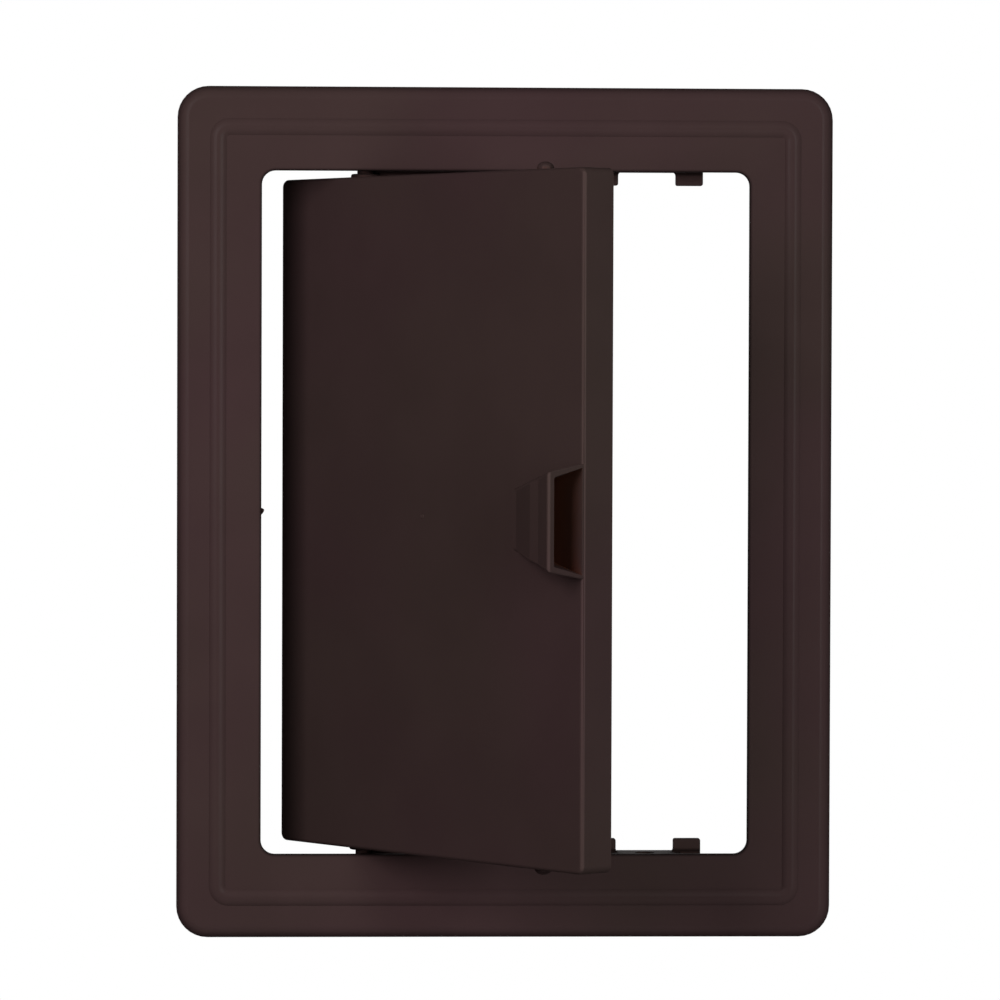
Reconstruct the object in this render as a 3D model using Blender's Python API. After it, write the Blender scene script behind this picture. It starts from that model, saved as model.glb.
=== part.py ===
"""Brown plastic access panel: a frame for a wall or ceiling cut-out, with a snap-shut hinged door.

World axes: X to the right, Z up, -Y towards the viewer. The plane Y = 0 is the surface of the wall
or ceiling that the frame is pressed against, and the origin is the middle of the opening on it.
The door is modelled shut, about its own hinge axis, and then turned open. All sizes are in metres.
"""

import math

import bmesh
import bpy
from mathutils import Vector

MM = 0.001

# Frame seen from the front
FRAME_WIDTH = 168 * MM
FRAME_HEIGHT = 218 * MM
BAND_WIDTH = 21.6 * MM
OUTER_CORNER = 8 * MM
OPENING_CORNER = 3.5 * MM

# Frame in section
RIM_DEPTH = 4.2 * MM
EDGE_ROUND = 3.4 * MM
SKIN = 1.8 * MM
OPENING_EDGE_ROUND = 0.4 * MM
BEAD_INSET = 8.4 * MM
BEAD_WIDTH = 4.2 * MM
BEAD_HEIGHT = 0.8 * MM
BEAD_CORNER = 5 * MM

# Collar that goes into the cut-out
COLLAR_INSET = 11 * MM
COLLAR_WALL = 1.8 * MM
COLLAR_DEPTH = 20 * MM
COLLAR_CORNER = 4 * MM
COLLAR_LEAD = 0.5 * MM
COLLAR_ROOT_ROUND = 0.8 * MM

# Hinge and latch pockets behind the frame's two short sides
HINGE_INSET = 26.4 * MM
LATCH_INSET = 25.7 * MM
PIVOT_DEPTH = 8.4 * MM
POCKET_WIDTH = 14.9 * MM
POCKET_WALL = 1.8 * MM
POCKET_DEPTH = 15.8 * MM
HINGE_SETBACK = 1.6 * MM
LATCH_SETBACK = 0.4 * MM
PIN_RADIUS = 2.0 * MM
PIN_CLEARANCE = 0.25 * MM
PIN_SWING_CLEARANCE = 0.6 * MM
PIN_END_CLEARANCE = 1.2 * MM
PIN_LENGTH = 5.8 * MM
PIN_TIP_CHAMFER = 0.6 * MM
PIN_SHOULDER_RADIUS = 3.6 * MM
PIN_SHOULDER_HEIGHT = 1.1 * MM
PIN_SHOULDER_ROUND = 0.5 * MM
PIN_SHOULDER_CLEARANCE = 0.4 * MM
NUB_RADIUS = 2.1 * MM
NUB_HEIGHT = 2.2 * MM
NUB_CLEARANCE = 0.4 * MM

# Stops that the shut door's rim rests against
STOP_CLEARANCE = 0.4 * MM
STOP_REACH = 3.1 * MM
STOP_THICKNESS = 2.2 * MM
STOP_TIP_ROUND = 0.5 * MM
STOP_ROOT_ROUND = 0.9 * MM
STOP_HINGE_OFFSET = 1.5 * MM
TAB_WIDTH = 7 * MM
RIB_THICKNESS = 1.5 * MM
RIB_SETBACK = 1.2 * MM
LIP_RIB_SPACING = 26 * MM

# Door, a shallow tray
DOOR_GAP_HINGE_SIDE = 1.8 * MM
DOOR_GAP_FREE_SIDE = 1.0 * MM
DOOR_GAP_END = 1.65 * MM
DOOR_DEPTH = 9.4 * MM
DOOR_SKIN = 1.8 * MM
DOOR_WALL = 1.6 * MM
DOOR_RIM_TAPER = 0.2 * MM
DOOR_CORNER = 2 * MM
DOOR_EDGE_ROUND = 1 * MM
DOOR_INNER_ROUND = 0.6 * MM
BOSS_LENGTH = 2.4 * MM
GUSSET_THICKNESS = 1.4 * MM
GUSSET_LENGTH = 4.5 * MM

# Hood handle in the middle of the free side, open towards that side
HOOD_HEIGHT = 10.7 * MM
HOOD_BASE_WIDTH = 28.4 * MM
HOOD_SIDE_DRAFT = math.radians(10)
HOOD_PLAN_TAPER = math.radians(15)
HOOD_BACK_SLOPE = math.radians(23)
HOOD_MOUTH_ROUND = 0.7 * MM
HOOD_UPPER_RUN = 6.5 * MM
HOOD_UPPER_TREAD = 3.2 * MM
HOOD_LOWER_RUN = 10.8 * MM
HOOD_LOWER_TREAD = 1.2 * MM
HOOD_TAIL_RUN = 1.6 * MM
HOOD_TOP_ROUND = 1.0 * MM
HOOD_SETBACK = 0.15 * MM
HOOD_ROOT = 1.2 * MM
HOOD_TAIL_ROOT = 0.4 * MM
HOOD_WALL = 1.1 * MM
HOOD_LIP = 1.35 * MM
GRIP_DEPTH = 16 * MM
GRIP_SIDE_DRAFT = math.radians(14)
GRIP_CEILING_SLOPE = math.radians(21)
GRIP_ROUND = 0.7 * MM

# Pose
OPEN_ANGLE = math.radians(53.3)

# Fineness of the round stretches
CORNER_STEPS = 8
EDGE_STEPS = 6
BEAD_STEPS = 8
SMALL_STEPS = 3
TURN_STEPS = 28

# How far pieces that are joined reach into each other, and how far a cutter overshoots
BITE = 0.6 * MM
OVERSHOOT = 1.0 * MM

# Values that follow from the sizes above
HALF_WIDTH = FRAME_WIDTH / 2
HALF_HEIGHT = FRAME_HEIGHT / 2
OPENING_HALF_WIDTH = HALF_WIDTH - BAND_WIDTH
OPENING_HALF_HEIGHT = HALF_HEIGHT - BAND_WIDTH
FACE_Y = -RIM_DEPTH
PLATE_BACK_Y = FACE_Y + SKIN
HINGE_X = -OPENING_HALF_WIDTH + HINGE_INSET
LATCH_X = OPENING_HALF_WIDTH - LATCH_INSET
PIVOT_Y = FACE_Y + PIVOT_DEPTH
HINGE_LEDGE_Z = OPENING_HALF_HEIGHT + HINGE_SETBACK
LATCH_LEDGE_Z = OPENING_HALF_HEIGHT + LATCH_SETBACK
COLLAR_INNER_Z = HALF_HEIGHT - COLLAR_INSET - COLLAR_WALL
STOP_FRONT_Y = FACE_Y + DOOR_DEPTH + STOP_CLEARANCE
DOOR_LEFT = -OPENING_HALF_WIDTH + DOOR_GAP_HINGE_SIDE - HINGE_X
DOOR_RIGHT = OPENING_HALF_WIDTH - DOOR_GAP_FREE_SIDE - HINGE_X
DOOR_HALF_HEIGHT = OPENING_HALF_HEIGHT - DOOR_GAP_END
DOOR_FACE_Y = -PIVOT_DEPTH
DOOR_RIM_Y = DOOR_FACE_Y + DOOR_DEPTH


def clear_scene():
    for item in list(bpy.data.objects):
        bpy.data.objects.remove(item, do_unlink=True)


def plastic(name, color, roughness):
    material = bpy.data.materials.new(name)
    material.use_nodes = True
    shader = material.node_tree.nodes["Principled BSDF"]
    shader.inputs["Base Color"].default_value = (*color, 1)
    shader.inputs["Roughness"].default_value = roughness
    shader.inputs["Metallic"].default_value = 0
    return material


def rounded_outline(corners, steps):
    """Points of a closed outline whose corners (x, z, radius) are rounded with arcs."""
    points = []
    for index, (x, z, radius) in enumerate(corners):
        corner = Vector((x, z))
        if radius == 0:
            points.append(corner)
            continue
        before = corners[index - 1]
        after = corners[(index + 1) % len(corners)]
        inward = (Vector(before[:2]) - corner).normalized()
        outward = (Vector(after[:2]) - corner).normalized()
        half_angle = inward.angle(outward) / 2
        center = corner + (inward + outward).normalized() * (radius / math.sin(half_angle))
        start = corner + inward * (radius / math.tan(half_angle)) - center
        finish = corner + outward * (radius / math.tan(half_angle)) - center
        turn = math.atan2(start.cross(finish), start.dot(finish))
        for step in range(steps + 1):
            angle = turn * step / steps
            arm = Vector((
                start.x * math.cos(angle) - start.y * math.sin(angle),
                start.x * math.sin(angle) + start.y * math.cos(angle),
            ))
            points.append(center + arm)
    return points


def rounded_rectangle(left, right, bottom, top, radius):
    corners = [(left, bottom, radius), (right, bottom, radius), (right, top, radius), (left, top, radius)]
    return rounded_outline(corners, CORNER_STEPS)


def ring_at(outline, y):
    return [Vector((point.x, y, point.y)) for point in outline]


def mesh_object(name, work_mesh, parent=None):
    bmesh.ops.recalc_face_normals(work_mesh, faces=work_mesh.faces)
    mesh = bpy.data.meshes.new(name)
    work_mesh.to_mesh(mesh)
    work_mesh.free()
    item = bpy.data.objects.new(name, mesh)
    bpy.context.scene.collection.objects.link(item)
    item.parent = parent
    return item


def loft(name, rings, closed=False, parent=None):
    """A skin through rings of equal length: a closed loop of rings, or capped at both ends."""
    work = bmesh.new()
    rows = [[work.verts.new(point) for point in ring] for ring in rings]
    pairs = list(zip(rows, rows[1:]))
    if closed:
        pairs.append((rows[-1], rows[0]))
    else:
        work.faces.new(rows[0])
        work.faces.new(rows[-1])
    for row, following in pairs:
        for index in range(len(row)):
            work.faces.new((row[index - 1], row[index], following[index], following[index - 1]))
    return mesh_object(name, work, parent)


def prism(name, outline, y_front, y_back, parent=None):
    """An outline in the XZ plane, extruded along Y."""
    work = bmesh.new()
    front = work.faces.new([work.verts.new(point) for point in ring_at(outline, y_front)])
    grown = bmesh.ops.extrude_face_region(work, geom=[front])["geom"]
    moved = [element for element in grown if isinstance(element, bmesh.types.BMVert)]
    bmesh.ops.translate(work, verts=moved, vec=(0, y_back - y_front, 0))
    return mesh_object(name, work, parent)


def turned(name, profile, parent=None):
    """A solid of revolution about Z from (radius, height) points that start and end on the axis."""
    work = bmesh.new()
    verts = [work.verts.new((radius, 0, height)) for radius, height in profile]
    edges = [work.edges.new(pair) for pair in zip(verts, verts[1:])]
    bmesh.ops.spin(
        work,
        geom=verts + edges,
        axis=(0, 0, 1),
        cent=(0, 0, 0),
        steps=TURN_STEPS,
        angle=math.tau,
        use_merge=True,
    )
    bmesh.ops.remove_doubles(work, verts=work.verts, dist=0.001 * MM)
    return mesh_object(name, work, parent)


def place(item, x, y, end):
    """Puts a turned piece at (x, y), pointing up for the upper end or down for the lower one."""
    item.location = (x, y, 0)
    item.rotation_euler = (0 if end > 0 else math.pi, 0, 0)
    return item


def combine(body, tool, operation):
    modifier = body.modifiers.new(tool.name, "BOOLEAN")
    modifier.operation = operation
    modifier.solver = "EXACT"
    modifier.object = tool
    tool.hide_render = True
    tool.display_type = "WIRE"


def add(body, tool):
    combine(body, tool, "UNION")


def cut(body, tool):
    combine(body, tool, "DIFFERENCE")


def finish(item, material):
    item.data.materials.append(material)
    item.data.shade_smooth()
    item.data.set_sharp_from_angle(angle=math.radians(32))


def arc(radius, start, stop, steps):
    """Steps of (sideways, upwards) along an arc, with angles in radians from the sideways axis."""
    angles = [start + (stop - start) * step / steps for step in range(steps + 1)]
    return [(radius * math.cos(angle), radius * math.sin(angle)) for angle in angles]


def frame_ring(inset, y, corner):
    """The frame's outline, moved in by an inset, at a depth y."""
    half_width = HALF_WIDTH - inset
    half_height = HALF_HEIGHT - inset
    return ring_at(rounded_rectangle(-half_width, half_width, -half_height, half_height, corner), y)


def outer_round_rings(radius, reverse):
    """The rolled-over outer edge, on its outer or inner surface."""
    steps = arc(radius, 0, math.pi / 2, EDGE_STEPS)
    if reverse:
        steps.reverse()
    insets = [(EDGE_ROUND - side, FACE_Y + EDGE_ROUND - front) for side, front in steps]
    return [frame_ring(inset, y, OUTER_CORNER - inset) for inset, y in insets]


def bead_rings():
    """The raised half-round line that runs round the frame's face."""
    radius = (BEAD_WIDTH ** 2 / 4 + BEAD_HEIGHT ** 2) / (2 * BEAD_HEIGHT)
    half_angle = math.asin(BEAD_WIDTH / 2 / radius)
    rings = []
    for side, front in arc(radius, math.pi / 2 + half_angle, math.pi / 2 - half_angle, BEAD_STEPS):
        inset = BEAD_INSET + BEAD_WIDTH / 2 + side
        y = FACE_Y - (front - radius + BEAD_HEIGHT)
        rings.append(frame_ring(inset, y, BEAD_CORNER - (inset - BEAD_INSET)))
    return rings


def opening_edge_rings():
    """The softened front edge of the opening, and the plate's thickness behind it."""
    rings = []
    for side, front in arc(OPENING_EDGE_ROUND, math.pi / 2, 0, SMALL_STEPS):
        inset = BAND_WIDTH - OPENING_EDGE_ROUND + side
        corner = OPENING_CORNER + BAND_WIDTH - inset
        rings.append(frame_ring(inset, FACE_Y + OPENING_EDGE_ROUND - front, corner))
    rings.append(frame_ring(BAND_WIDTH, PLATE_BACK_Y, OPENING_CORNER))
    return rings


def collar_rings():
    """The collar behind the plate: its inner wall back to its end, then its outer wall forward."""
    inner = COLLAR_INSET + COLLAR_WALL
    inner_corner = COLLAR_CORNER - COLLAR_WALL
    lead_inset = COLLAR_INSET + COLLAR_LEAD
    root = arc(COLLAR_ROOT_ROUND, 0, math.pi / 2, SMALL_STEPS)
    rings = []
    for side, front in reversed(root):
        inset = inner + COLLAR_ROOT_ROUND - side
        rings.append(frame_ring(inset, PLATE_BACK_Y + COLLAR_ROOT_ROUND - front, inner_corner))
    rings += [
        frame_ring(inner, COLLAR_DEPTH, inner_corner),
        frame_ring(lead_inset, COLLAR_DEPTH, COLLAR_CORNER - COLLAR_LEAD),
        frame_ring(COLLAR_INSET, COLLAR_DEPTH - 3 * COLLAR_LEAD, COLLAR_CORNER),
    ]
    for side, front in root:
        inset = COLLAR_INSET - COLLAR_ROOT_ROUND + side
        rings.append(frame_ring(inset, PLATE_BACK_Y + COLLAR_ROOT_ROUND - front, COLLAR_CORNER))
    return rings


def frame_shell():
    rings = [frame_ring(0, 0, OUTER_CORNER)]
    rings += outer_round_rings(EDGE_ROUND, reverse=False)
    rings += bead_rings()
    rings += opening_edge_rings()
    rings += collar_rings()
    rings += outer_round_rings(EDGE_ROUND - SKIN, reverse=True)
    rings.append(frame_ring(SKIN, 0, OUTER_CORNER - SKIN))
    return loft("frame", rings, closed=True)


def end_outline(corners, end, steps=SMALL_STEPS):
    """An outline drawn for the upper end, or mirrored to the lower one."""
    return rounded_outline([(x, z * end, radius) for x, z, radius in corners], steps)


def pocket_bracket(body, name, center_x, ledge_z, end):
    """A ledge just past the opening's edge, with two cheeks that tie it to the collar."""
    left = center_x - POCKET_WIDTH / 2
    right = center_x + POCKET_WIDTH / 2
    root_z = COLLAR_INNER_Z + BITE
    ledge_back_z = ledge_z + POCKET_WALL
    corners = [
        (left - POCKET_WALL, root_z, 0),
        (left - POCKET_WALL, ledge_z, 0),
        (right + POCKET_WALL, ledge_z, 0),
        (right + POCKET_WALL, root_z, 0),
        (right, root_z, 0),
        (right, ledge_back_z, 0),
        (left, ledge_back_z, 0),
        (left, root_z, 0),
    ]
    outline = end_outline(corners, end)
    add(body, prism(name, outline, PLATE_BACK_Y - BITE, FACE_Y + POCKET_DEPTH, body))


def stop_outline(left, right, left_root, right_root, end):
    """A stop's outline: rounded tip, and a rounded root on the sides that meet a latch ledge."""
    tip_z = OPENING_HALF_HEIGHT - STOP_REACH
    root_z = COLLAR_INNER_Z + BITE
    meet_z = LATCH_LEDGE_Z + BITE
    corners = [(left, tip_z, STOP_TIP_ROUND), (right, tip_z, STOP_TIP_ROUND)]
    if right_root:
        corners += [
            (right, LATCH_LEDGE_Z, STOP_ROOT_ROUND),
            (right + 2 * STOP_ROOT_ROUND, LATCH_LEDGE_Z, 0),
            (right + 2 * STOP_ROOT_ROUND, meet_z, 0),
            (right, meet_z, 0),
        ]
    corners += [(right, root_z, 0), (left, root_z, 0)]
    if left_root:
        corners += [
            (left, meet_z, 0),
            (left - 2 * STOP_ROOT_ROUND, meet_z, 0),
            (left - 2 * STOP_ROOT_ROUND, LATCH_LEDGE_Z, 0),
            (left, LATCH_LEDGE_Z, STOP_ROOT_ROUND),
        ]
    return end_outline(corners, end)


def stop_rib(body, name, center_x, end):
    """A web that ties a stop to the back of the plate and to the collar."""
    left = center_x - RIB_THICKNESS / 2
    right = center_x + RIB_THICKNESS / 2
    near_z = OPENING_HALF_HEIGHT + RIB_SETBACK
    far_z = COLLAR_INNER_Z + BITE
    corners = [(left, near_z, 0), (right, near_z, 0), (right, far_z, 0), (left, far_z, 0)]
    outline = end_outline(corners, end)
    add(body, prism(name, outline, PLATE_BACK_Y - BITE, STOP_FRONT_Y + BITE, body))


def stops(body, label, end):
    """The long stop lip between hinge and latch, and the short tab outside the latch."""
    lip_left = HINGE_X + STOP_HINGE_OFFSET
    lip_right = LATCH_X - POCKET_WIDTH / 2
    tab_left = LATCH_X + POCKET_WIDTH / 2
    tab_right = tab_left + TAB_WIDTH
    stop_back_y = STOP_FRONT_Y + STOP_THICKNESS
    lip = stop_outline(lip_left, lip_right, False, True, end)
    tab = stop_outline(tab_left, tab_right, True, False, end)
    add(body, prism(f"{label}_stop_lip", lip, STOP_FRONT_Y, stop_back_y, body))
    add(body, prism(f"{label}_stop_tab", tab, STOP_FRONT_Y, stop_back_y, body))
    lip_middle = (lip_left + lip_right) / 2
    for number, offset in enumerate((-LIP_RIB_SPACING / 2, LIP_RIB_SPACING / 2)):
        stop_rib(body, f"{label}_lip_rib_{number + 1}", lip_middle + offset, end)
    stop_rib(body, f"{label}_tab_rib", (tab_left + tab_right) / 2 + RIB_THICKNESS, end)


def pin_hole(body, label, end):
    """The hinge hole, and the room that the stop lip leaves for the pin and its shoulder."""
    hole = PIN_RADIUS + PIN_CLEARANCE
    relief = PIN_RADIUS + PIN_SWING_CLEARANCE
    relief_end = HINGE_LEDGE_Z + PIN_SWING_CLEARANCE
    shoulder_room = PIN_SHOULDER_RADIUS + PIN_SHOULDER_CLEARANCE
    shoulder_end = DOOR_HALF_HEIGHT + PIN_SHOULDER_HEIGHT + PIN_SHOULDER_CLEARANCE
    hole_end = DOOR_HALF_HEIGHT + PIN_LENGTH + PIN_END_CLEARANCE
    profile = [
        (0, DOOR_HALF_HEIGHT - STOP_REACH),
        (shoulder_room, DOOR_HALF_HEIGHT - STOP_REACH),
        (shoulder_room, shoulder_end),
        (relief, shoulder_end),
        (relief, relief_end),
        (hole, relief_end),
        (hole, hole_end),
        (0, hole_end),
    ]
    cut(body, place(turned(f"{label}_hinge_hole", profile, body), HINGE_X, PIVOT_Y, end))


def latch_hole(body, label, end):
    radius = NUB_RADIUS + NUB_CLEARANCE
    near = LATCH_LEDGE_Z - OVERSHOOT
    far = LATCH_LEDGE_Z + POCKET_WALL + OVERSHOOT
    profile = [(0, near), (radius, near), (radius, far), (0, far)]
    cut(body, place(turned(f"{label}_latch_hole", profile, body), LATCH_X, PIVOT_Y, end))


def build_frame():
    frame = frame_shell()
    for label, end in (("upper", 1), ("lower", -1)):
        pocket_bracket(frame, f"{label}_hinge_pocket", HINGE_X, HINGE_LEDGE_Z, end)
        pocket_bracket(frame, f"{label}_latch_pocket", LATCH_X, LATCH_LEDGE_Z, end)
        stops(frame, label, end)
        pin_hole(frame, label, end)
        latch_hole(frame, label, end)
    finish(frame, plastic("frame_plastic", (0.047, 0.028, 0.027), 0.42))
    return frame


def door_ring(inset, y, corner):
    """The door's outline, moved in by an inset, in the door's own axes."""
    bottom = -DOOR_HALF_HEIGHT + inset
    outline = rounded_rectangle(DOOR_LEFT + inset, DOOR_RIGHT - inset, bottom, -bottom, corner)
    return ring_at(outline, y)


def door_tray():
    """Front face, rounded edge, side wall, rim, and the tray's inside back to its floor."""
    rings = []
    for side, front in arc(DOOR_EDGE_ROUND, math.pi / 2, 0, EDGE_STEPS):
        inset = DOOR_EDGE_ROUND - side
        rings.append(door_ring(inset, DOOR_FACE_Y + DOOR_EDGE_ROUND - front, DOOR_CORNER - inset))
    rings.append(door_ring(0, DOOR_RIM_Y, DOOR_CORNER))
    rim_wall = DOOR_WALL - DOOR_RIM_TAPER
    rings.append(door_ring(rim_wall, DOOR_RIM_Y, DOOR_CORNER - rim_wall))
    floor_y = DOOR_FACE_Y + DOOR_SKIN
    for side, front in arc(DOOR_INNER_ROUND, 0, math.pi / 2, SMALL_STEPS):
        inset = DOOR_WALL + DOOR_INNER_ROUND - side
        rings.append(door_ring(inset, floor_y + DOOR_INNER_ROUND - front, DOOR_CORNER))
    return loft("door", rings)


def hinge_pin(body, label, end):
    """A pin that runs out of the door's end wall, with its shoulder there and its boss inside."""
    tip = DOOR_HALF_HEIGHT + PIN_LENGTH
    foot = DOOR_HALF_HEIGHT - DOOR_WALL - BOSS_LENGTH
    shoulder_foot = DOOR_HALF_HEIGHT - BITE
    shoulder_top = DOOR_HALF_HEIGHT + PIN_SHOULDER_HEIGHT
    profile = [
        (0, foot),
        (PIN_RADIUS, foot),
        (PIN_RADIUS, shoulder_foot),
        (PIN_SHOULDER_RADIUS, shoulder_foot),
    ]
    for side, up in arc(PIN_SHOULDER_ROUND, 0, math.pi / 2, SMALL_STEPS):
        radius = PIN_SHOULDER_RADIUS - PIN_SHOULDER_ROUND + side
        profile.append((radius, shoulder_top - PIN_SHOULDER_ROUND + up))
    profile += [
        (PIN_RADIUS, shoulder_top),
        (PIN_RADIUS, tip - PIN_TIP_CHAMFER),
        (PIN_RADIUS - PIN_TIP_CHAMFER, tip),
        (0, tip),
    ]
    add(body, place(turned(f"{label}_hinge_pin", profile, body), 0, 0, end))


def latch_nub(body, label, end):
    """A domed nub that snaps past the opening's edge into the latch hole."""
    foot = DOOR_HALF_HEIGHT - DOOR_WALL - BITE
    shoulder = DOOR_HALF_HEIGHT + NUB_HEIGHT / 3
    dome_height = NUB_HEIGHT * 2 / 3
    profile = [(0, foot), (NUB_RADIUS, foot)]
    for side, up in arc(1, 0, math.pi / 2, EDGE_STEPS):
        profile.append((NUB_RADIUS * side, shoulder + dome_height * up))
    profile[-1] = (0, shoulder + dome_height)
    add(body, place(turned(f"{label}_latch_nub", profile, body), LATCH_X - HINGE_X, 0, end))


def pin_gusset(body, label, end):
    """A web from the pin's boss to the tray's floor and end wall."""
    half = GUSSET_THICKNESS / 2
    far = DOOR_HALF_HEIGHT - DOOR_WALL + BITE
    near = far - GUSSET_LENGTH
    corners = [(-half, near, 0), (half, near, 0), (half, far, 0), (-half, far, 0)]
    outline = end_outline(corners, end)
    add(body, prism(f"{label}_pin_gusset", outline, DOOR_FACE_Y + DOOR_SKIN - BITE, -PIN_RADIUS / 2, body))


def hood_section(from_edge, top, bottom, wall, corner, draft):
    """One cross-section of the hood or of its grip space, a trapezoid with rounded top corners."""
    base = HOOD_BASE_WIDTH / 2 - from_edge * math.tan(HOOD_PLAN_TAPER) - wall
    low = base - bottom * math.tan(draft)
    high = base - top * math.tan(draft)
    corners = [(-low, -bottom, 0), (low, -bottom, 0), (high, -top, corner), (-high, -top, corner)]
    outline = rounded_outline(corners, SMALL_STEPS)
    x = DOOR_RIGHT - from_edge
    return [Vector((x, DOOR_FACE_Y + point.y, point.x)) for point in outline]


def hood_steps():
    """(distance from the free edge, height) down the hood's stepped back, from behind its mouth."""
    steps = [(HOOD_SETBACK + HOOD_MOUTH_ROUND, HOOD_HEIGHT)]
    for run, tread in ((HOOD_UPPER_RUN, HOOD_UPPER_TREAD), (HOOD_LOWER_RUN, HOOD_LOWER_TREAD)):
        from_edge, height = steps[-1]
        lowered = height - run * math.tan(HOOD_BACK_SLOPE)
        steps.append((from_edge + run, lowered))
        steps.append((from_edge + run + tread, lowered))
    steps.append((steps[-1][0] + HOOD_TAIL_RUN, -HOOD_TAIL_ROOT))
    return steps


def hood(body):
    """The hood as a solid: the round along its mouth, then its stepped back."""
    rings = []
    for side, up in arc(HOOD_MOUTH_ROUND, math.pi, math.pi / 2, SMALL_STEPS):
        from_edge = HOOD_SETBACK + HOOD_MOUTH_ROUND + side
        inset = HOOD_MOUTH_ROUND - up
        top = HOOD_HEIGHT - inset
        rings.append(hood_section(from_edge, top, -HOOD_ROOT, inset, HOOD_TOP_ROUND, HOOD_SIDE_DRAFT))
    for from_edge, height in hood_steps()[1:]:
        corner = min(HOOD_TOP_ROUND, (height + HOOD_ROOT) / 2)
        rings.append(hood_section(from_edge, height, -HOOD_ROOT, 0, corner, HOOD_SIDE_DRAFT))
    add(body, loft("hood", rings, parent=body))


def grip_space(body):
    """The finger space under the hood: level with the face below, sloping down behind the lip."""
    rings = []
    for from_edge in (-OVERSHOOT, GRIP_DEPTH):
        ceiling = HOOD_HEIGHT - HOOD_LIP - max(from_edge, 0) * math.tan(GRIP_CEILING_SLOPE)
        rings.append(hood_section(from_edge, ceiling, 0, HOOD_WALL, GRIP_ROUND, GRIP_SIDE_DRAFT))
    cut(body, loft("grip_space", rings, parent=body))


def build_door():
    door = door_tray()
    for label, end in (("upper", 1), ("lower", -1)):
        pin_gusset(door, label, end)
        hinge_pin(door, label, end)
        latch_nub(door, label, end)
    hood(door)
    grip_space(door)
    finish(door, plastic("door_plastic", (0.038, 0.024, 0.023), 0.42))
    door.location = (HINGE_X, PIVOT_Y, 0)
    door.rotation_euler = (0, 0, -OPEN_ANGLE)
    return door


clear_scene()
build_frame()
build_door()
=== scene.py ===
"""Looks of the brown plastic access panel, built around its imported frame. Sizes are in metres."""

import math

import bmesh
import bpy
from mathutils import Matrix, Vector


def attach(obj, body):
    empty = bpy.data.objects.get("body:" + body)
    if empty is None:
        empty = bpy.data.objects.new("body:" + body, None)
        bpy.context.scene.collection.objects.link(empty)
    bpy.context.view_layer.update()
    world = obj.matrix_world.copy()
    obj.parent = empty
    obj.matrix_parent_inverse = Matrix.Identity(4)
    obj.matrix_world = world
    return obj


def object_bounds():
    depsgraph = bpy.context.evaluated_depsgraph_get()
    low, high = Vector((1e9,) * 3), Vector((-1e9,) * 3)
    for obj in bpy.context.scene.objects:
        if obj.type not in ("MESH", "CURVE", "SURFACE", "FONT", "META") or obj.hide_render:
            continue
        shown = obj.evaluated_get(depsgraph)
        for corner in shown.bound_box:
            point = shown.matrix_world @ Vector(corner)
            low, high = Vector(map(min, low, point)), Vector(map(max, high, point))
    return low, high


MM = 0.001

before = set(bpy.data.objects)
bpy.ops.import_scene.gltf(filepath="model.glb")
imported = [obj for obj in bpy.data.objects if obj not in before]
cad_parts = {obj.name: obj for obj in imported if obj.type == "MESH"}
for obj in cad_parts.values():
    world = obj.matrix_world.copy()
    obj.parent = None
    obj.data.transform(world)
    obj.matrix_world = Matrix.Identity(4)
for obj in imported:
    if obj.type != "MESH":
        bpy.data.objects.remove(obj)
cad_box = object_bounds()


def radians(*degrees):
    return tuple(math.radians(angle) for angle in degrees)


def cosines(*degrees):
    return tuple(math.cos(angle) for angle in radians(*degrees))


# Camera, fitted to the photograph
CAMERA_PLACE = (-59.13 * MM, -1344.49 * MM, 35.56 * MM)
CAMERA_TURN = radians(88.6268, -0.1871, -2.4624)
CAMERA_FOCAL_PIXELS = 5243.7
CAMERA_CLIP = (0.05, 50)
IMAGE_PIXELS = 1000
SENSOR_MM = 36

# Stage: white to the camera, while it throws little light back onto the panel
FLOOR_DROP = 0.4
FLOOR_RADIUS = 6.0
FLOOR_SIDES = 96
FLOOR_WHITE = 0.9
FLOOR_BOUNCE = 0.15
FLOOR_LIFT = 0.6
SHADOW_REACH = (0.7, 1.3)
WORLD_LIGHT = 0.03
WORLD_SEEN = 1.0

# Lamps: place, size, watts and colour. Each is aimed at the middle of the panel
LAMPS = {
    "key": ((-0.319, -0.473, 0.185), (0.24, 0.36), 2.25, (1.06, 1.0, 1.03)),
    "fill": ((0.382, -0.750, 0.118), (0.25, 0.45), 3.9, (0.92, 1.0, 0.97)),
    "low": ((0.30, -0.75, -0.10), (0.3, 0.3), 0.6, (0.98, 1.0, 0.98)),
    "back_left": ((-0.35, 1.3, 0.3), (0.9, 0.7), 12.0, (1.0, 1.0, 1.0)),
    "back_right": ((0.55, 1.2, 0.2), (0.7, 0.7), 6.0, (1.0, 1.0, 1.0)),
}

# Each name with TILT holds the cosines of two angles between a surface and the panel's front
FRONT = (0, -1, 0)

# Colour: it drifts between a redder and an olive cast; the hollows get a painted reddish glow, as
# of light through thin plastic
COLORS = {"frame": (0.0462, 0.0267, 0.0265), "door": (0.0415, 0.0250, 0.0243)}
HUES = ((1.02, 0.975, 1.02), (0.97, 1.035, 0.97))
HUE_SCALE = 11
HUE_BAND = (0.35, 0.65)
HUE_SHIFT = (0.13, 0.0, 0.0)
CAVITY_REACH = 16 * MM
CAVITY_OPENING = (0.38, 0.15)
CAVITY_SAMPLES = 4
HOLLOW_PAINTED_GLOW = {"frame": (1.2, 0.96, 0.84), "door": (1.75, 0.8, 0.36)}
NO_CAST = (1, 1, 1)
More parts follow.
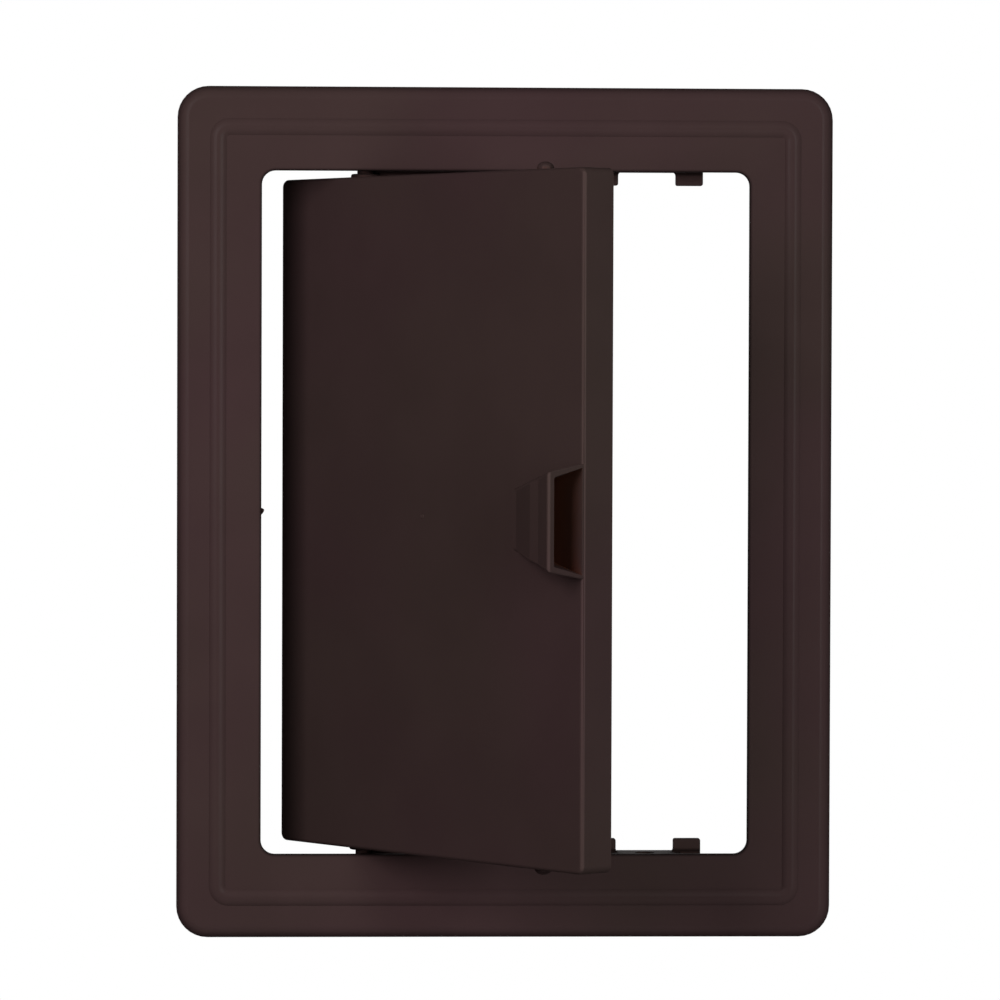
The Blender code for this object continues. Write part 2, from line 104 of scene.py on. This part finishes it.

# Tone: soft mottling, painted shade on steep sides and the frame's edges, painted highlights on the
# door's edges and front
MOTTLE_SCALE = 38
MOTTLE_DETAIL = 3
MOTTLE = 0.04
EDGE_REACH = {"frame": 0.7 * MM, "door": 0.4 * MM}
EDGE_MATCH = (0.97, 0.78)
EDGE_SAMPLES = 4
EDGE_PAINTED_LIGHT = {"frame": 0.6, "door": 1.25}
FRONT_HIGHLIGHT_TILT = cosines(32, 22)
FRONT_PAINTED_HIGHLIGHT = {"frame": 1.0, "door": 1.4}
SHADED_SIDE_TILT = {"frame": cosines(75, 25), "door": cosines(78, 52)}
SIDE_PAINTED_SHADE = {"frame": 0.55, "door": 0.85}

# Painted shade: the dark line round the opening, whose outline runs the corner's radius outside a
# plain core
ANY_DEPTH = 1.0
OPENING_HALF_CORE = (58.9 * MM, ANY_DEPTH, 83.9 * MM)
OPENING_CORNER = 3.5 * MM
OPENING_PAINTED_SHADE = 0.3
OPENING_REACH = 0.9 * MM

# Gloss and grain: matte, but satin on the shoulders of the bead and of the rim
SPECULAR = {"frame": 0.025, "door": 0.008}
MATTE = 1.0
SATIN = 0.36
FLAT_TILT = cosines(3, 8)
STEEP_TILT = cosines(24, 34)
ROUGHNESS_SCALE = 170
ROUGHNESS_SPREAD = 0.05
GRAIN_SCALE = 1500
GRAIN_DEPTH = 0.012 * MM

# Noise: the range that most of it lies in, and its usual detail
NOISE_BAND = (0.3, 0.7)
NOISE_DETAIL = 2

# Softness of the moulded edges
EDGE_WELD = 0.002 * MM
FLAT_ANGLE, EDGE_ANGLE = radians(0.3, 31)
EDGE_ROUND = 0.16 * MM
EDGE_SEGMENTS = 3
NORMAL_WEIGHT = 100

# The door as modelled: how far its face and the sloping steps of its hood turn from the front
DOOR_TURN = math.radians(-53.3)
HOOD_SLOPE_TURN = DOOR_TURN - math.radians(23)
HOOD_SLOPE = (math.sin(HOOD_SLOPE_TURN), -math.cos(HOOD_SLOPE_TURN), 0)
HOOD_SLOPE_MATCH = math.cos(math.radians(0.4))

# The sprue's ring on the door's face: its place, and in millimetres each ring's radius and height
GATE_PLACE = Vector((-22.03, -28.6, -0.08)) * MM
GATE_SIDES = 20
GATE_PROFILE = ((0.68, -0.05), (0.66, 0.05), (0.52, 0.13), (0.36, 0.12), (0.24, 0.03))

# The sliver of flash on the opening's left edge, in millimetres: y of its ends, x and z round it
FLASH_DEPTHS = (-3.3, -2.9)
FLASH_OUTLINE = (
    (-63.1, 1.4), (-62.6, 1.24), (-62.0, 1.09), (-61.65, 0.78),
    (-61.75, 0.3), (-62.1, -0.22), (-62.6, -0.75), (-63.1, -0.9),
)


def make_camera():
    data = bpy.data.cameras.new("camera")
    data.sensor_width = SENSOR_MM
    data.lens = CAMERA_FOCAL_PIXELS / IMAGE_PIXELS * SENSOR_MM
    data.clip_start, data.clip_end = CAMERA_CLIP
    camera = bpy.data.objects.new("camera", data)
    camera.location = CAMERA_PLACE
    camera.rotation_euler = CAMERA_TURN
    bpy.context.scene.collection.objects.link(camera)
    bpy.context.scene.camera = camera


def feed(tree, value, socket):
    """Gives a socket its value: a number, several numbers or another node's output."""
    if isinstance(value, bpy.types.NodeSocket):
        tree.links.new(value, socket)
    else:
        socket.default_value = value


def operation_node(tree, kind, operation, values):
    node = tree.nodes.new(kind)
    node.operation = operation
    for value, socket in zip(values, node.inputs):
        feed(tree, value, socket)
    return node.outputs


def math_node(tree, operation, *values):
    return operation_node(tree, "ShaderNodeMath", operation, values)[0]


def vector_math(tree, operation, *values):
    outputs = operation_node(tree, "ShaderNodeVectorMath", operation, values)
    return outputs["Value" if operation in ("DOT_PRODUCT", "LENGTH") else "Vector"]


def remap(tree, value, start, end, low, high):
    """The value moved smoothly from the range start..end to low..high."""
    node = tree.nodes.new("ShaderNodeMapRange")
    node.interpolation_type = "SMOOTHSTEP"
    numbers = {"From Min": start, "From Max": end, "To Min": low, "To Max": high}
    for name, number in numbers.items():
        node.inputs[name].default_value = number
    feed(tree, value, node.inputs["Value"])
    return node.outputs[0]


def blend(tree, share, first, second):
    """A mix of two plain colours, from the first at share 0 to the second at share 1."""
    mix = tree.nodes.new("ShaderNodeMix")
    mix.data_type = "RGBA"
    sockets = {socket.identifier: socket for socket in mix.inputs}
    sockets["A_Color"].default_value = (*first, 1)
    sockets["B_Color"].default_value = (*second, 1)
    feed(tree, share, sockets["Factor_Float"])
    return next(socket for socket in mix.outputs if socket.identifier == "Result_Color")


def noise(tree, place, scale, detail=NOISE_DETAIL):
    node = tree.nodes.new("ShaderNodeTexNoise")
    node.inputs["Scale"].default_value = scale
    node.inputs["Detail"].default_value = detail
    feed(tree, place, node.inputs["Vector"])
    return node.outputs["Fac"]


def glow(tree, kind, strength):
    """White light from a background or a surface."""
    node = tree.nodes.new(kind)
    node.inputs["Color"].default_value = (1, 1, 1, 1)
    feed(tree, strength, node.inputs["Strength"])
    return node.outputs[0]


def mix_shaders(tree, share, first, second):
    mix = tree.nodes.new("ShaderNodeMixShader")
    for value, socket in zip((share, first, second), mix.inputs):
        feed(tree, value, socket)
    return mix.outputs[0]


def seen_directly(tree):
    """1 for camera, glossy and transmission rays, 0 for the rays that carry light."""
    path = tree.nodes.new("ShaderNodeLightPath").outputs
    seen = math_node(tree, "MAXIMUM", path["Is Camera Ray"], path["Is Glossy Ray"])
    return math_node(tree, "MAXIMUM", seen, path["Is Transmission Ray"])


def make_world():
    world = bpy.data.worlds.new("studio")
    bpy.context.scene.world = world
    world.use_nodes = True
    tree = world.node_tree
    tree.nodes.clear()
    light = glow(tree, "ShaderNodeBackground", WORLD_LIGHT)
    white = glow(tree, "ShaderNodeBackground", WORLD_SEEN)
    output = tree.nodes.new("ShaderNodeOutputWorld")
    feed(tree, mix_shaders(tree, seen_directly(tree), light, white), output.inputs["Surface"])


def floor_material():
    """White floor: it takes the shadow below the panel, and is plain white further out."""
    material = bpy.data.materials.new("floor_white")
    material.use_nodes = True
    tree = material.node_tree
    tree.nodes.clear()
    seen = seen_directly(tree)
    diffuse = tree.nodes.new("ShaderNodeBsdfDiffuse")
    albedo = math_node(tree, "MULTIPLY_ADD", seen, FLOOR_WHITE - FLOOR_BOUNCE, FLOOR_BOUNCE)
    feed(tree, albedo, diffuse.inputs["Color"])
    lift = glow(tree, "ShaderNodeEmission", math_node(tree, "MULTIPLY", seen, FLOOR_LIFT))
    near = tree.nodes.new("ShaderNodeAddShader")
    feed(tree, diffuse.outputs[0], near.inputs[0])
    feed(tree, lift, near.inputs[1])
    far = glow(tree, "ShaderNodeEmission", 1)
    place = tree.nodes.new("ShaderNodeNewGeometry").outputs["Position"]
    spread = remap(tree, vector_math(tree, "LENGTH", place), *SHADOW_REACH, 0, 1)
    share = math_node(tree, "MULTIPLY", spread, seen)
    output = tree.nodes.new("ShaderNodeOutputMaterial")
    feed(tree, mix_shaders(tree, share, near.outputs[0], far), output.inputs["Surface"])
    return material


def make_floor():
    work = bmesh.new()
    bmesh.ops.create_circle(work, cap_ends=True, segments=FLOOR_SIDES, radius=FLOOR_RADIUS)
    mesh = bpy.data.meshes.new("floor")
    work.to_mesh(mesh)
    work.free()
    floor = bpy.data.objects.new("floor", mesh)
    floor.location = (0, 0, cad_box[0].z - FLOOR_DROP)
    bpy.context.scene.collection.objects.link(floor)
    mesh.materials.append(floor_material())


def area_light(name, place, size, power, color):
    data = bpy.data.lights.new(name, "AREA")
    data.shape = "RECTANGLE"
    data.size, data.size_y = size
    data.energy = power
    data.color = color
    lamp = bpy.data.objects.new(name, data)
    lamp.location = place
    lamp.rotation_euler = (-Vector(place)).to_track_quat("-Z", "Y").to_euler()
    bpy.context.scene.collection.objects.link(lamp)


def edge_mask(tree, reach):
    """1 on the narrow edges of the moulding, 0 on its broad faces."""
    rounded = tree.nodes.new("ShaderNodeBevel")
    rounded.samples = EDGE_SAMPLES
    rounded.inputs["Radius"].default_value = reach
    plain = tree.nodes.new("ShaderNodeNewGeometry").outputs["Normal"]
    match = vector_math(tree, "DOT_PRODUCT", rounded.outputs[0], plain)
    return remap(tree, match, *EDGE_MATCH, 0, 1)


def painted_glow_mask(tree):
    """1 deep inside the moulding's hollows, where a reddish glow is painted, 0 on its open faces.
    """
    hollow = tree.nodes.new("ShaderNodeAmbientOcclusion")
    hollow.samples = CAVITY_SAMPLES
    hollow.only_local = True
    hollow.inputs["Distance"].default_value = CAVITY_REACH
    return remap(tree, hollow.outputs["AO"], *CAVITY_OPENING, 0, 1)


def opening_painted_shade(tree, place):
    """Painted shade where the frame's face rolls over into the opening, by the distance to its
    outline.
    """
    from_middle = vector_math(tree, "ABSOLUTE", place)
    past_core = vector_math(tree, "SUBTRACT", from_middle, OPENING_HALF_CORE)
    reach = vector_math(tree, "LENGTH", vector_math(tree, "MAXIMUM", past_core, (0, 0, 0)))
    distance = math_node(tree, "ABSOLUTE", math_node(tree, "SUBTRACT", reach, OPENING_CORNER))
    return remap(tree, distance, 0, OPENING_REACH, OPENING_PAINTED_SHADE, 1)


def tone(tree, place, facing, name):
    """How much lighter or darker than the plain colour each spot is: random mottling, and painted
    highlights and shade.
    """
    mottling = noise(tree, place, MOTTLE_SCALE, MOTTLE_DETAIL)
    level = remap(tree, mottling, *NOISE_BAND, 1 - MOTTLE, 1 + MOTTLE)
    parts = [
        # Painted shade on the frame's edges, a painted highlight on the door's edges
        remap(tree, edge_mask(tree, EDGE_REACH[name]), 0, 1, 1, EDGE_PAINTED_LIGHT[name]),
        # Painted highlight on the door's surfaces that face the front
        remap(tree, facing, *FRONT_HIGHLIGHT_TILT, 1, FRONT_PAINTED_HIGHLIGHT[name]),
        # Painted shade on steep sides, which turn away from the front
        remap(tree, math_node(tree, "ABSOLUTE", facing), *SHADED_SIDE_TILT[name], SIDE_PAINTED_SHADE[name], 1),
    ]
    if name == "frame":
        parts.append(opening_painted_shade(tree, place))
    for part in parts:
        level = math_node(tree, "MULTIPLY", level, part)
    return level


def hue(tree, place, color):
    """The plastic's colour, drifting softly between a redder and an olive cast."""
    place = vector_math(tree, "ADD", place, HUE_SHIFT)
    drift = remap(tree, noise(tree, place, HUE_SCALE), *HUE_BAND, 0, 1)
    redder, olive = ([part * share for part, share in zip(color, cast)] for cast in HUES)
    return blend(tree, drift, redder, olive)


def roughness(tree, place, facing):
    """Matte on flat and on steep surfaces, satin on the shoulders between them."""
    flat = remap(tree, facing, *FLAT_TILT, MATTE, SATIN)
    steep = remap(tree, facing, *STEEP_TILT, SATIN, MATTE)
    spread = remap(tree, noise(tree, place, ROUGHNESS_SCALE), *NOISE_BAND, -ROUGHNESS_SPREAD, 0)
    return math_node(tree, "ADD", math_node(tree, "MAXIMUM", flat, steep), spread)


def moulded_plastic(name):
    """Moulded plastic: matte with satin shoulders, softly mottled, with a fine mould grain, and
    with painted highlights, shade and a glow in its hollows.
    """
    material = bpy.data.materials.new(f"{name}_plastic")
    material.use_nodes = True
    tree = material.node_tree
    shader = tree.nodes["Principled BSDF"]
    shader.distribution = "GGX"
    shader.inputs["Specular IOR Level"].default_value = SPECULAR[name]
    where = tree.nodes.new("ShaderNodeTexCoord")
    place = where.outputs["Object"]
    facing = vector_math(tree, "DOT_PRODUCT", where.outputs["Normal"], FRONT)

    shade = tree.nodes.new("ShaderNodeVectorMath")
    shade.operation = "SCALE"
    feed(tree, hue(tree, place, COLORS[name]), shade.inputs[0])
    feed(tree, tone(tree, place, facing, name), shade.inputs["Scale"])
    # Painted glow: the hollows get a redder cast with less blue, standing in for light through the
    # thin plastic
    cast = blend(tree, painted_glow_mask(tree), NO_CAST, HOLLOW_PAINTED_GLOW[name])
    base = vector_math(tree, "MULTIPLY", shade.outputs[0], cast)
    feed(tree, base, shader.inputs["Base Color"])
    feed(tree, roughness(tree, place, facing), shader.inputs["Roughness"])

    bump = tree.nodes.new("ShaderNodeBump")
    bump.inputs["Distance"].default_value = GRAIN_DEPTH
    feed(tree, noise(tree, place, GRAIN_SCALE), bump.inputs["Height"])
    feed(tree, bump.outputs[0], shader.inputs["Normal"])
    return material


def compare(tree, operation, value, limit):
    node = tree.nodes.new("FunctionNodeCompare")
    node.data_type = "FLOAT"
    node.operation = operation
    node.inputs["B"].default_value = limit
    feed(tree, value, node.inputs["A"])
    return node.outputs[0]


def shade_smooth(tree, geometry, domain, smooth):
    node = tree.nodes.new("GeometryNodeSetShadeSmooth")
    node.domain = domain
    feed(tree, geometry, node.inputs["Geometry"])
    feed(tree, smooth, node.inputs["Shade Smooth"])
    return node.outputs[0]


def smoothing_group():
    """Smooth shading, but for sharp edges and the hood's sloping faces, whose steps stay crisp."""
    tree = bpy.data.node_groups.new("smooth_by_angle", "GeometryNodeTree")
    for way in ("INPUT", "OUTPUT"):
        tree.interface.new_socket("Geometry", in_out=way, socket_type="NodeSocketGeometry")
    start = tree.nodes.new("NodeGroupInput")
    end = tree.nodes.new("NodeGroupOutput")
    imported = tree.nodes.new("GeometryNodeRemoveAttribute")
    imported.inputs["Name"].default_value = "custom_normal"
    feed(tree, start.outputs[0], imported.inputs["Geometry"])

    normal = tree.nodes.new("GeometryNodeInputNormal").outputs[0]
    along_slope = vector_math(tree, "DOT_PRODUCT", normal, HOOD_SLOPE)
    off_slope = compare(tree, "LESS_THAN", along_slope, HOOD_SLOPE_MATCH)
    faces = shade_smooth(tree, imported.outputs[0], "FACE", off_slope)

    angle = tree.nodes.new("GeometryNodeInputMeshEdgeAngle").outputs["Unsigned Angle"]
    edges = shade_smooth(tree, faces, "EDGE", compare(tree, "LESS_EQUAL", angle, EDGE_ANGLE))
    feed(tree, edges, end.inputs[0])
    return tree


def soften(node, group):
    """The moulding's small edge rounds, as modifiers on the CAD node."""
    weld = node.modifiers.new("weld", "WELD")
    weld.merge_threshold = EDGE_WELD
    flat = node.modifiers.new("flat", "DECIMATE")
    flat.decimate_type = "DISSOLVE"
    flat.angle_limit = FLAT_ANGLE
    bevel = node.modifiers.new("edge_round", "BEVEL")
    bevel.width = EDGE_ROUND
    bevel.segments = EDGE_SEGMENTS
    bevel.limit_method = "ANGLE"
    bevel.angle_limit = EDGE_ANGLE
    bevel.use_clamp_overlap = True
    bevel.loop_slide = False
    smooth = node.modifiers.new("smooth", "NODES")
    smooth.node_group = group
    weighted = node.modifiers.new("weighted", "WEIGHTED_NORMAL")
    weighted.keep_sharp = True
    weighted.weight = NORMAL_WEIGHT


def dress(node_name, material, group):
    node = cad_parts[node_name]
    node.data.materials.clear()
    node.data.materials.append(material)
    soften(node, group)


def add_piece(name, points, faces, material, body):
    """A small piece that rides on one of the bodies, in that body's plastic."""
    mesh = bpy.data.meshes.new(name)
    mesh.from_pydata([tuple(point) for point in points], [], faces)
    work = bmesh.new()
    work.from_mesh(mesh)
    bmesh.ops.recalc_face_normals(work, faces=work.faces)
    work.to_mesh(mesh)
    work.free()
    mesh.materials.append(material)
    piece = bpy.data.objects.new(name, mesh)
    bpy.context.scene.collection.objects.link(piece)
    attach(piece, body)


def sleeve(rings, sides):
    """The faces between rings of equal sides, with a cap at either end."""
    faces = []
    for ring in range(rings - 1):
        for side in range(sides):
            near, far = ring * sides + side, ring * sides + (side + 1) % sides
            faces.append((near, far, far + sides, near + sides))
    faces.append(tuple(range(sides)))
    faces.append(tuple(range((rings - 1) * sides, rings * sides)))
    return faces


def gate_mark(material):
    """The small ring that the sprue left in the middle of the door's face."""
    away = Vector((math.sin(DOOR_TURN), -math.cos(DOOR_TURN), 0))
    along = Vector((-away.y, away.x, 0))
    upright = Vector((0, 0, 1))
    points = []
    for radius, height in GATE_PROFILE:
        for side in range(GATE_SIDES):
            turn = 2 * math.pi * side / GATE_SIDES
            flat = (along * math.cos(turn) + upright * math.sin(turn)) * radius
            points.append(GATE_PLACE + (flat + away * height) * MM)
    faces = sleeve(len(GATE_PROFILE), GATE_SIDES)
    add_piece("door_gate_mark", points, faces, material, "door")


def flash(material):
    """The sliver of flash on the opening's left edge."""
    points = [Vector((x, y, z)) * MM for y in FLASH_DEPTHS for x, z in FLASH_OUTLINE]
    faces = sleeve(len(FLASH_DEPTHS), len(FLASH_OUTLINE))
    add_piece("frame_flash", points, faces, material, "frame")


make_camera()
make_world()
make_floor()
for lamp_name, facts in LAMPS.items():
    area_light(lamp_name, *facts)
plastics = {name: moulded_plastic(name) for name in COLORS}
smoothing = smoothing_group()
for node_name, material in plastics.items():
    dress(node_name, material, smoothing)
gate_mark(plastics["door"])
flash(plastics["frame"])

bpy.context.scene.view_settings.view_transform = "Standard"
